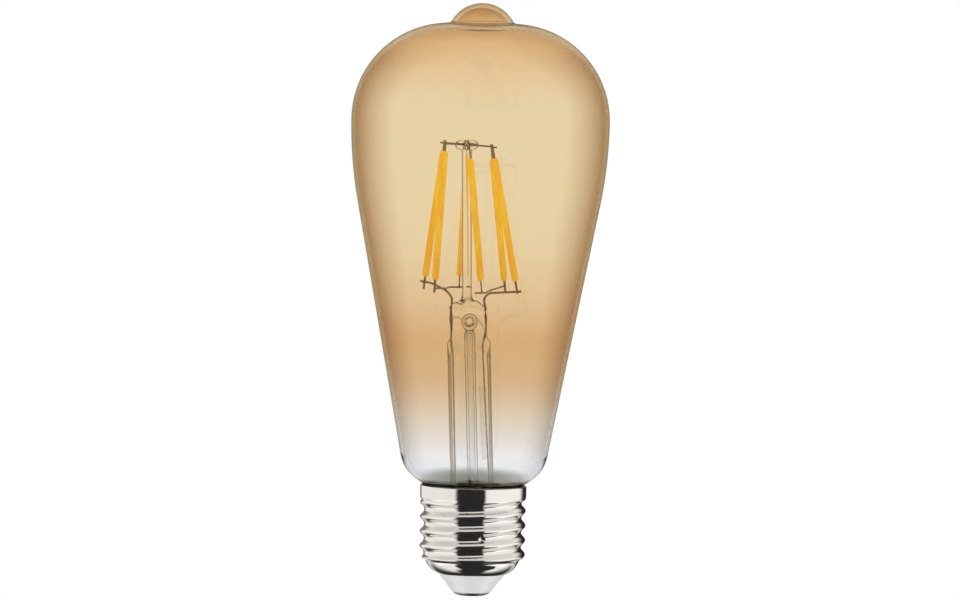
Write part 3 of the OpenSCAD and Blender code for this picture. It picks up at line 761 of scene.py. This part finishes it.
def stem_shape():
    """Flare tube, its pinched shoulder and the flat pressed end, with the tube's hollow inside."""
    verts, faces = skin(tube_rings(0) + shoulder_rings() + pressed_rings())
    inner_verts, inner_faces = skin(tube_rings(STEM_WALL) + hollow_end_rings())
    base = len(verts)
    faces += [[base + v for v in face] for face in inner_faces]
    # The rim of the flare joins the two skins
    for k in range(STEM_SIDES):
        n = (k + 1) % STEM_SIDES
        faces.append([k, n, base + n, base + k])
    return verts + inner_verts, faces


def cut_away(obj, cutter):
    """Take a cutter's shape out of a piece, and the cutter out of the scene."""
    cut = obj.modifiers.new("cut", "BOOLEAN")
    cut.operation = "DIFFERENCE"
    cut.solver = "EXACT"
    cut.object = cutter
    bpy.context.view_layer.update()
    evaluated = obj.evaluated_get(bpy.context.evaluated_depsgraph_get())
    whole = bpy.data.meshes.new_from_object(evaluated)
    obj.modifiers.clear()
    obj.data = whole
    bpy.data.objects.remove(cutter)


stem = make("Stem_flare", stem_shape(), STEM_GLASS, ["stem_flare"], STEM, 50)

# The exhaust hole: out of the pressed end's front face, and down into the hollow
hole_turn = STEM @ Matrix.Translation((HOLE_AT[0], 0, HOLE_AT[1])) @ rotation(90, "X")
hole_profile = [(0, -0.5), (0.75, -0.45), (0.95, 0.2), (0.98, 1.0), (1.15, 1.6), (1.5, 2.2), (1.6, 4), (0, 4)]
cut_away(stem, make("Exhaust_hole", lathe(hole_profile, 40), STEM_GLASS, (), hole_turn))


def lip_shape():
    """Melted lip round the hole, thick below and above and thin at its sides."""
    rings = []
    for a in range(0, 360, 6):
        thick = 0.38 + 0.26 * max(0, -sin(a)) ** 2 + 0.12 * max(0, sin(a)) ** 2
        middle = 1.62 + 0.1 * noise.noise(Vector((cos(a), sin(a), 4)))
        ring = []
        for b in range(0, 360, 18):
            out = middle + thick * cos(b)
            ring.append((out * cos(a), out * sin(a), PRESS_T / 2 + 0.1 + 1.3 * thick * sin(b)))
        rings.append(ring)
    return skin(rings, loop=True)


make("Exhaust_hole_lip", lip_shape(), LIP_GLASS, (), hole_turn, 80)

# Folds that the press left in the front face, beside the hole
FOLDS = {
    "left": [(-4.15, -1.45, 69.0), (-3.2, -1.64, 69.45), (-2.4, -1.68, 69.4), (-1.5, -1.75, 68.75)],
    "right": [(1.85, -1.75, 69.25), (2.8, -1.7, 68.4), (3.5, -1.62, 67.2), (4.3, -1.45, 65.9)],
}
for side, route in FOLDS.items():
    make(f"Press_fold_{side}", wire_shape(route, 0.17, 1.2, 3), LIP_GLASS, (), STEM, 60)


def exhaust_profile():
    """Closed foot, tube, open top, and the bore back down."""
    foot = [(0, 15.3), (0.45, 15.38), (0.85, 15.65), (1.15, 16.1)]
    tube = [(EXHAUST_R, z) for z in (16.8, 30, 45, 60)]
    top = [(EXHAUST_R + 0.05, 64), (EXHAUST_R - 0.1, 65.6), (1.0, 66.2), (EXHAUST_BORE, 66.3)]
    bore = [(EXHAUST_BORE, z) for z in (60, 45, 30, 17.8)]
    return foot + tube + top + bore + [(0.5, 17.2), (0.2, 16.85), (0, 16.8)]


make("Exhaust_tube", lathe(exhaust_profile(), ROD_SIDES), EXHAUST_GLASS, ["exhaust_tube"],
     STEM @ Matrix.Translation((EXHAUST_SHIFT, 0, 0)), 50)


def pillar_profile():
    """Foot spread on the pressed end, shaft, and neck under the button."""
    foot = [(0, PRESS_TOP - 0.15), (1.75, PRESS_TOP - 0.15), (1.8, PRESS_TOP + 0.1), (1.55, PRESS_TOP + 0.45),
            (1.35, PRESS_TOP + 0.9), (PILLAR_R, PRESS_TOP + 1.6)]
    end = BUTTON_Z - BUTTON_EDGE
    shaft = [(PILLAR_R + 0.03 * math.sin(z * 0.31), z) for z in range(int(PRESS_TOP) + 3, int(end) - 1, 2)]
    neck = [(PILLAR_R + 0.05, end - 0.7), (PILLAR_R + 0.2, end - 0.05), (0, end - 0.05)]
    return foot + shaft + neck


def button_profile():
    """Flat drop of glass, dipped on top."""
    top = BUTTON_Z + BUTTON_EDGE
    rim = arc((BUTTON_R - BUTTON_EDGE, BUTTON_Z), BUTTON_EDGE, -90, 90, 20)
    return [(0, BUTTON_Z - BUTTON_EDGE)] + rim + [(0.8, top - 0.05), (0.4, top - 0.12), (0, top - 0.14)]


make("Glass_pillar", lathe(pillar_profile(), ROD_SIDES), ROD_GLASS, ["glass_pillar"],
     PILLAR, 60)
make("Glass_button", lathe(button_profile(), ROD_SIDES), BEAD_GLASS, (), PILLAR, 60)


# ---- Filaments and the wires that hold them ----
def on_ring(ring, az, z):
    """A filament's end. Each ring of ends has a middle, off the axis, and a radius."""
    middle, r = ring
    return Vector((middle + r * cos(az), r * sin(az), z))


def ends_low(i):
    return on_ring(RING_LOW, FILAMENT_AZ[i], FILAMENT_LOW[i])


def ends_top(i):
    return on_ring(RING_TOP, FILAMENT_AZ[i] + RING_TURN, FILAMENT_TOP[i])


def pin(i, z):
    """A filament's centre line at a height, past its ends too."""
    p, q = ends_low(i), ends_top(i)
    return p + (q - p) * (z - p.z) / (q.z - p.z)


def outward(i):
    return Vector((cos(FILAMENT_AZ[i]), sin(FILAMENT_AZ[i]), 0))


def sideways(i):
    return Vector((-sin(FILAMENT_AZ[i]), cos(FILAMENT_AZ[i]), 0))


def past_pin(i, z, start, r):
    """End of a wire that passes a filament's pin and is welded to its side."""
    p = pin(i, z)
    d = Vector((p.x - start[0], p.y - start[1], 0)).normalized()
    turn = d.dot(outward(i))
    half = STRIP_T / 2 * abs(turn) + STRIP_W / 2 * math.sqrt(1 - min(1, turn * turn))
    return p + (half + r + WELD_PLAY) * Vector((-d.y, d.x, 0)) + WELD_END * d


def arm_tip(i):
    return past_pin(i, BUTTON_Z + ARM_SLOPE * ends_top(i).x, (0, 0), WIRE_R)


def coat_shape(i):
    """Phosphor coat of a filament: an uneven rod, thinner towards both ends."""
    low, top = ends_low(i), ends_top(i)
    path = spread([low, top], COAT_STEP)
    length = (top - low).length

    def section(share, angle):
        here = share * length
        end = min(here, length - here)
        grow = 0.8 + 0.2 * ramp(end / 0.8)
        n = noise.noise(Vector((cos(angle) * 0.6 + 11 * i, sin(angle) * 0.6, here * 0.55)))
        return COAT_R * grow * (1.03 + 0.06 * n)

    return sweep(path, section, outward(i), COAT_SIDES)


for i in range(6):
    make(f"Filament_{i + 1}_coat", coat_shape(i), PHOSPHOR, [f"filament_{i + 1}"], PILLAR, 60)


def wire(name, points, r, bend, material, replaces, matrix=PILLAR):
    make(name, wire_shape(points, r, bend, len(name)), material, replaces, matrix, 60)


left_last = (-8.6, 2.3, 77.65)
wire("Lead_wire_left",
     [(DUMET_AT[0] - PILLAR_SHIFT, 0, DUMET_TOP + 0.12), (-3.68, 0, 74.2), (-4.9, 0.4, 75.75), left_last,
      past_pin(4, 78.1, left_last, LEAD_R)],
     LEAD_R - SLIM, 1.1, OXIDISED, ["left_lead_wire"])
right_last = (5.5, -0.35, 75.3)
wire("Lead_wire_right",
     [(DUMET_AT[1] - PILLAR_SHIFT, 0, DUMET_TOP + 0.16), (4.2, 0, 74), right_last,
      past_pin(1, 75.8, right_last, LEAD_R)],
     LEAD_R - SLIM, 1.0, OXIDISED, ["right_lead_wire"])


def cross_wire(side, first, first_z, knee, elbow, last, last_z, reach, overrun):
    """Wire welded to one filament's pin, bent round the pillar and on to the pin of another."""
    at = pin(last, last_z) + (STRIP_W / 2 + WIRE_R + WELD_PLAY) * outward(last)
    route = [past_pin(first, first_z, knee, WIRE_R), knee, elbow, at + reach * sideways(last),
             at - overrun * sideways(last)]
    wire(f"Cross_wire_{side}", route, WIRE_R - SLIM, 0.7, OXIDISED, [f"{side}_cross_wire"])


cross_wire("left", 5, 76.9, (-4.9, 1.2, 76.42), (-4.75, 10.4, 76.2), 3, 76.2, 2.3, 3)
cross_wire("right", 2, 76.6, (5.7, -0.4, 75.95), (4.85, -10.8, 75.9), 0, 75.9, 0.55, 1.9)

# The six arms meet in a knot inside the glass button
arm_verts, arm_faces = [], []
for i in range(6):
    tip = arm_tip(i)
    way = Vector((tip.x, tip.y, 0)).normalized()
    start = Vector((0, 0, BUTTON_Z)) + way * (0.45 + 0.12 * (i % 3)) + Vector((0, 0, 0.22 * (i % 3 - 1)))
    middle = start.lerp(tip, 0.55) + Vector((0, 0, 0.12 * math.sin(2.1 * i)))
    verts, faces = wire_shape([start, middle, tip], WIRE_R - 0.04, 1.2, i)
    arm_faces += [[len(arm_verts) + v for v in f] for f in faces]
    arm_verts += verts
make("Top_spider", (arm_verts, arm_faces), OXIDISED, ["top_spider"], PILLAR, 60)

for side, x in zip(("left", "right"), DUMET_AT):
    wire(f"Dumet_{side}", [(x, 0, DUMET_LOW), (x, 0, DUMET_TOP)], LEAD_R - 0.02, 1, DUMET,
         ["dumet_seals"] if side == "left" else (), STEM)

wire("Outer_lead_left",
     [(DUMET_AT[0], 0, DUMET_LOW - 0.04), (-4.08, 0, 45), (-4.2, 0, 21), (-4.4, 1.6, 17.2),
      (-4.4, 3.7, 17.2)],
     LEG_R - SLIM, 1.2, TINNED, ["left_outer_lead"], STEM)
wire("Outer_lead_right",
     [(DUMET_AT[1], 0, DUMET_LOW - 0.12), (RIGHT_LEG_TOP[0], 0, RIGHT_LEG_TOP[1]), (3.9, 0, 42),
      (RIGHT_LEG_FOOT[0], 0, RIGHT_LEG_FOOT[1]), (4.4, 1.6, 17.2), (4.4, 3.7, 17.2)],
     LEG_R - SLIM, 1.2, TINNED, ["right_outer_lead"], STEM)


def sleeve_shape():
    """Clear tube pushed over the right lead: outer face and inner face, joined at both ends."""
    slope = (RIGHT_LEG_FOOT[0] - RIGHT_LEG_TOP[0]) / (RIGHT_LEG_TOP[1] - RIGHT_LEG_FOOT[1])
    path = []
    for k in range(SLEEVE_RINGS):
        z = SLEEVE_TOP - SLEEVE_STEP * k
        path.append(Vector((RIGHT_LEG_TOP[0] + (RIGHT_LEG_TOP[1] - z) * slope - SLEEVE_SHIFT, 0, z)))
    angles = [360 * k / SLEEVE_SIDES for k in range(SLEEVE_SIDES)]
    outside, inside = [], []
    for i, (p, (_, u, v)) in enumerate(zip(path, frames_along(path, (0, 1, 0)))):
        for rings, r in ((outside, SLEEVE_R), (inside, SLEEVE_BORE)):
            here = r * (1 + 0.03 * math.sin(i * 0.7))
            rings.append([p + (u * cos(a) + v * sin(a)) * here for a in angles])
    return skin(outside + inside[::-1], loop=True)


make("Lead_sleeve", sleeve_shape(), SLEEVE, ["lead_sleeve"], STEM, 60)


# ---- Screw cap ----
def thread_wave(az, z):
    """0 at the thread's root and 1 at its crest, level at the skirt and at the collar."""
    wave = ((1 + cos(360 * (z - THREAD_START) / PITCH - az)) / 2) ** THREAD_SHARPNESS
    foot = ramp((z - THREAD_Z - 0.1) / 1.2)
    top = ramp((z - COLLAR_Z + 1.3) / 1.2)
    return foot * max(wave, top)


def shell_face(az, z):
    """Radius of the threaded part, with four punched dimples and a faint unevenness."""
    base = ROOT_R - 0.55 * (1 - ramp((z - THREAD_Z) / 1.1))
    r = base + THREAD_DEPTH * thread_wave(az, z)
    if abs(z - DIMPLE_Z) < 2:
        for mark in DIMPLE_AZ:
            away = (az - mark + 180) % 360 - 180
            d = math.hypot(math.radians(away) * r, z - DIMPLE_Z)
            r -= DIMPLE_DEPTH * math.exp(-(d / DIMPLE_R) ** 2)
    r += 0.012 * noise.noise(Vector((cos(az) * 3, sin(az) * 3, z * 0.6)))
    return r


def shell_shape():
    """Sheet shell: skirt, thread, collar and its lip outside, and back down inside."""
    turns = [360 * k / SHELL_SIDES for k in range(SHELL_SIDES)]

    def threaded(z, inset):
        radii = [shell_face(a, z) - inset for a in turns]
        return [(r * cos(a), r * sin(a), z) for r, a in zip(radii, turns)]

    def plain(r, z):
        return circle(r, z, SHELL_SIDES)

    skirt_out = [plain(*p) for p in arc(SKIRT_C, SKIRT_R, -62, -23, 14)]
    skirt_in = [plain(*p) for p in arc(SKIRT_C, SKIRT_R - SHEET, -60, -25, 10)]
    heights = [THREAD_Z + THREAD_STEP * k for k in range(1, int((COLLAR_Z - THREAD_Z) / THREAD_STEP) + 1)]
    collar = [25.0, 25.6, 26.3, 26.9, 27.2]
    outside = skirt_out + [threaded(z, 0) for z in heights]
    outside += [plain(COLLAR_R - 0.05 + 0.05 * ramp((z - COLLAR_Z) / 0.4), z) for z in collar]
    lip = [plain(COLLAR_R - 0.02, 27.38), plain(COLLAR_R - 0.1, RIM_Z - 0.02),
           plain(COLLAR_R - 0.2, RIM_Z - 0.02), plain(COLLAR_R - SHEET, 27.36)]
    inside = [plain(COLLAR_R - SHEET - 0.02, z) for z in reversed(collar)]
    inside += [threaded(z, SHEET) for z in reversed(heights[::2])] + skirt_in[::-1]
    edge = [plain(*on_arc(SKIRT_C, SKIRT_R - inset, -64)) for inset in (0.2, 0.05)]
    return skin(outside + lip + inside + edge, loop=True)


make("Screw_shell", shell_shape(), NICKEL, ["screw_shell"], sharp=70)


def insulator_profile():
    """White body from the contact's seat out under the skirt, with the shank's bore from above."""
    under_skirt = SKIRT_R - SHEET - 0.1
    side = [(4.45, 0.9), (4.72, 0.96), (4.95, 1.15), (5.4, 1.75), (6.0, 2.58), (6.42, 3.12), (6.9, 3.66),
            (7.35, 4.2), (7.8, 4.85), (8.15, 5.4)]
    return ([(0, 0.93), (2, 0.93), (4.2, 0.9)] + side + arc(SKIRT_C, under_skirt, -63, -30, 12)
            + [(10.3, 8.2), (9.0, 8.3), (1.12, 8.3), (1.12, 8.2), (1.12, 2.0), (0, 2.0)])


make("Cap_insulator", lathe(insulator_profile(), INSULATOR_SIDES), INSULATOR,
     ["cap_insulator"], sharp=50)


def contact_shape():
    """Shallow pressed disc on a shank, with a soldered middle that isn't quite even."""
    profile = [(0, 0.10), (0.35, 0.085), (0.7, 0.03), (0.95, 0.0), (1.6, 0.005), (2.4, 0.03), (3.0, 0.07),
               (3.5, 0.17), (3.95, 0.34), (4.3, 0.54), (4.52, 0.74), (4.6, 0.9), (4.5, 0.97), (4.0, 1.0),
               (1.08, 1.0), (1.08, 9.2), (0, 9.2)]
    rings = []
    for r, z in profile:
        if r == 0:
            rings.append([(0, 0, z)])
            continue
        ring = []
        for x, y, _ in circle(r, z, CONTACT_SIDES):
            n = noise.noise(Vector((x * 0.7, y * 0.7, 3)))
            dip = 0.05 * n * ramp((4 - r) / 2) if z < 0.2 else 0
            ring.append((x, y, max(0.0, z + dip)))
        rings.append(ring)
    return skin(rings)


make("Centre_contact", contact_shape(), CONTACT, ["centre_contact"], sharp=50)

# ---- CAD nodes that stay ----
slot_of = {part["node"]: part["material_slot"] for part in frame["record"]["subparts"]}
stood_for = {n for o in scene.objects for n in o.get("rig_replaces", [])}
for name, obj in nodes_of_cad.items():
    if name in stood_for:
        continue
    obj.data.materials.clear()
    obj.data.materials.append(BY_SLOT[slot_of[name]])


# ---- Studio ----
GLASS_SEES = 0.07
BACKDROP = 0.22
CARD_BLACK = 0.975
IN_METAL = (1.0, 0.985, 0.965)
IN_GLASS = (1.0, 0.78, 0.52)


class Sky(Nodes):
    """The studio as the world sees it. Angles are in degrees: turn is 0 in front and 180 behind."""

    def __init__(self, world):
        world.use_nodes = True
        super().__init__(world.node_tree)
        self.tree.nodes.clear()
        xyz = self.node("ShaderNodeSeparateXYZ")
        self.link(self.node("ShaderNodeTexCoord").outputs["Generated"], xyz.inputs[0])
        x, y, z = xyz.outputs
        self.turn = self.times(self.maths("ARCTAN2", x, self.times(y, -1)), 180 / math.pi)
        self.rise = self.times(self.maths("ARCSINE", z), 180 / math.pi)
        self.left_turn = self.times(self.turn, -1)
        self.fall = self.times(self.rise, -1)
        self.away = self.maths("ABSOLUTE", self.turn)

    def times(self, a, b):
        return self.maths("MULTIPLY", a, b)

    def minus(self, a, b):
        return self.maths("SUBTRACT", a, b)

    def largest(self, a, b):
        return self.maths("MAXIMUM", a, b)

    def step(self, value, start, end):
        """0 below start, 1 above end, soft in between."""
        return self.between(value, 0, 1, start, end)

    def until(self, value, start, end):
        """1 below start, 0 above end, soft in between."""
        return self.minus(1, self.step(value, start, end))

    def front_card(self):
        """Dark card in front, off to the left, and wider below."""
        below = self.times(self.step(self.fall, 28, 55), 20)
        right = self.until(self.minus(self.turn, self.times(below, 3.2)), 24, 31)
        left = self.until(self.minus(self.left_turn, below), 33, 42)
        return self.times(self.times(right, left), self.until(self.rise, 34, 46))

    def flags(self):
        """Narrow dark flags behind at eye level, the right one wider."""
        level_band = self.minus(1, self.largest(self.step(self.rise, 16, 34), self.step(self.fall, 14, 26)))
        lean = self.times(self.largest(self.rise, 0), 0.6)
        right = self.times(self.step(self.maths("ADD", self.turn, lean), 118, 142),
                           self.until(self.turn, 176, 179))
        left = self.times(self.step(self.maths("ADD", self.left_turn, lean), 146, 156),
                          self.minus(0.8, self.step(self.left_turn, 168, 178)))
        return self.times(self.largest(right, left), level_band)

    def dark_table(self):
        """The table is dark behind and straight below."""
        behind = self.times(self.step(self.away, 100, 150), self.step(self.fall, 14, 34))
        return self.largest(behind, self.step(self.fall, 64, 76))

    def room(self, glossy):
        """Bright at eye level, dimmer towards the ceiling, and with a brighter table edge for metal."""
        level = self.maths("MULTIPLY_ADD", self.step(self.turn, -60, 60), 0.1, 0.98)
        level = self.minus(level, self.times(self.step(self.rise, 12, 48), 0.24))
        table_edge = self.times(self.step(self.fall, 12, 36), self.until(self.fall, 36, 48))
        lift = self.maths("MULTIPLY_ADD", glossy, 0.35, -0.05)
        return self.maths("ADD", level, self.times(table_edge, lift))


def studio():
    """White for what is seen directly or through glass. Metal mirrors dark cards, glass a dim brown room."""
    scene.world = bpy.data.worlds.new("Studio")
    sky = Sky(scene.world)
    ray = sky.node("ShaderNodeLightPath").outputs
    dark = sky.largest(sky.largest(sky.front_card(), sky.flags()), sky.dark_table())
    in_metal = sky.times(sky.room(ray["Is Glossy Ray"]), sky.maths("MULTIPLY_ADD", dark, -CARD_BLACK, 1))
    # Only the smooth faces of glass mirror with singular rays, because all metal here is a little rough
    by_glass = sky.times(ray["Is Glossy Ray"], ray["Is Singular Ray"])
    by_metal = sky.minus(1, by_glass)
    in_glass = sky.maths("MULTIPLY_ADD", sky.step(sky.away, 150, 166), BACKDROP, GLASS_SEES)
    table = sky.times(sky.step(sky.fall, 36, 60), 0.75)
    mirrored = sky.node("ShaderNodeCombineColor")
    for socket, metal_share, glass_share in zip(mirrored.inputs, IN_METAL, IN_GLASS):
        glassy = sky.times(sky.maths("MULTIPLY_ADD", in_glass, glass_share, table), by_glass)
        sky.put(sky.maths("MULTIPLY_ADD", sky.times(in_metal, metal_share), by_metal, glassy), socket)
    seen = sky.largest(ray["Is Camera Ray"], ray["Is Transmission Ray"])
    background = sky.node("ShaderNodeBackground")
    sky.put(sky.mix(seen, mirrored.outputs[0], (1, 1, 1)), background.inputs["Color"])
    sky.link(background.outputs[0], sky.node("ShaderNodeOutputWorld").inputs["Surface"])


studio()

# Floor: white and evenly bright, under the contact
REACH = 6.0
floor_mesh = bpy.data.meshes.new("Floor")
corners = [(-REACH, -REACH, 0), (REACH, -REACH, 0), (REACH, REACH, 0), (-REACH, REACH, 0)]
floor_mesh.from_pydata(corners, [], [(0, 1, 2, 3)])
floor = bpy.data.objects.new("Floor", floor_mesh)
scene.collection.objects.link(floor)
paper = Shader("Floor_paper").set(Base_Color=(0, 0, 0), Roughness=1.0, Specular_IOR_Level=0.0,
                                  Emission_Color=(1, 1, 1), Emission_Strength=1.0)
floor_mesh.materials.append(paper.material)
floor.visible_glossy = False
floor.visible_shadow = False

# ---- Camera ----
AIM = Vector((0.00074, 0, 0.0735))
DISTANCE = 1.4
ELEVATION = 2.8
ROLL = 1.15
SENSOR = 36.0
LENS = 211.8
camera = bpy.data.objects.new("Camera", bpy.data.cameras.new("Camera"))
scene.collection.objects.link(camera)
back = Vector((0, -cos(ELEVATION), sin(ELEVATION)))
camera.location = AIM + back * DISTANCE
camera.rotation_mode = "QUATERNION"
camera.rotation_quaternion = (-back).to_track_quat("-Z", "Y") @ Quaternion((0, 0, 1), math.radians(ROLL))
camera.data.sensor_width = SENSOR
camera.data.lens = LENS
camera.data.clip_start = 0.01
camera.data.clip_end = 50
scene.camera = camera

scene.view_settings.view_transform = "Standard"
scene.cycles.max_bounces = 24
scene.cycles.transmission_bounces = 24
scene.cycles.transparent_max_bounces = 16
